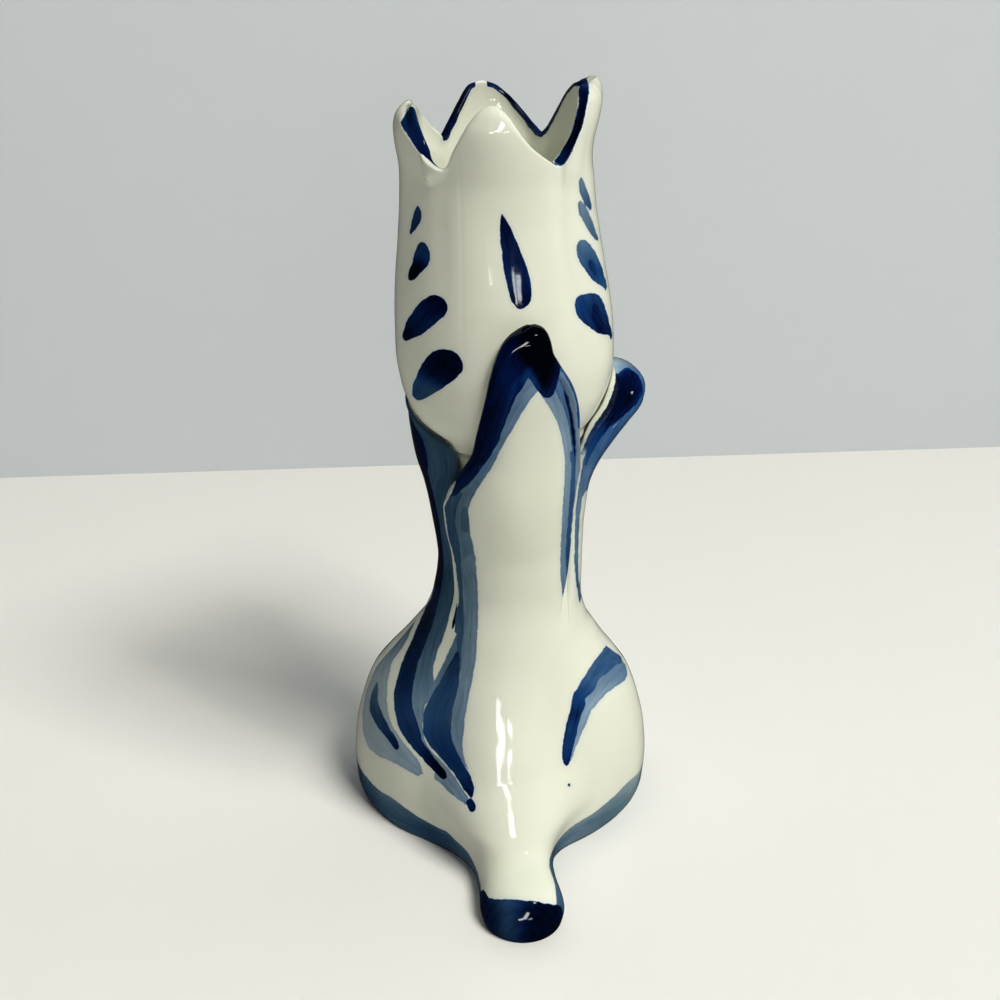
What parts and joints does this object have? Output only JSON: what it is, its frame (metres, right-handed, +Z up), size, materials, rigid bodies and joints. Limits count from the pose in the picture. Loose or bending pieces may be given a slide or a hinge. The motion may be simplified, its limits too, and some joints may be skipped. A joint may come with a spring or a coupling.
{
  "type": "bud vase",
  "caption": "Tulip-shaped porcelain bud vase: a hollow bloom with pointed petals on a leaf-wrapped stem, over a lobed foot that ends in a toe, with blue brush strokes.",
  "frame": {"origin": "on the flat underside, where the vase rests on the table, straight below the stem", "axes": "+Z up along the stem; the toe of the foot points to -Y, and +X is to the right of the toe as it is seen from the front"},
  "size_m": [0.0685, 0.0776, 0.165],
  "materials": {
    "glazed_bloom": "clear gloss glaze over white porcelain, with cobalt brush marks",
    "glazed_body": "clear gloss glaze over white porcelain, with cobalt strokes and a cobalt band round the foot; bare biscuit underneath",
    "glazed_front_leaf": "gloss glaze, white panel with navy to slate-blue edges",
    "glazed_right_leaf": "gloss glaze over navy to slate-blue wash",
    "glazed_left_leaf": "gloss glaze over dark blue wash"
  },
  "bodies": {
    "root": {"bloom": "glazed_bloom", "stem_base": "glazed_body", "front_leaf": "glazed_front_leaf", "right_leaf": "glazed_right_leaf", "left_leaf": "glazed_left_leaf"}
  },
  "joints": []
}
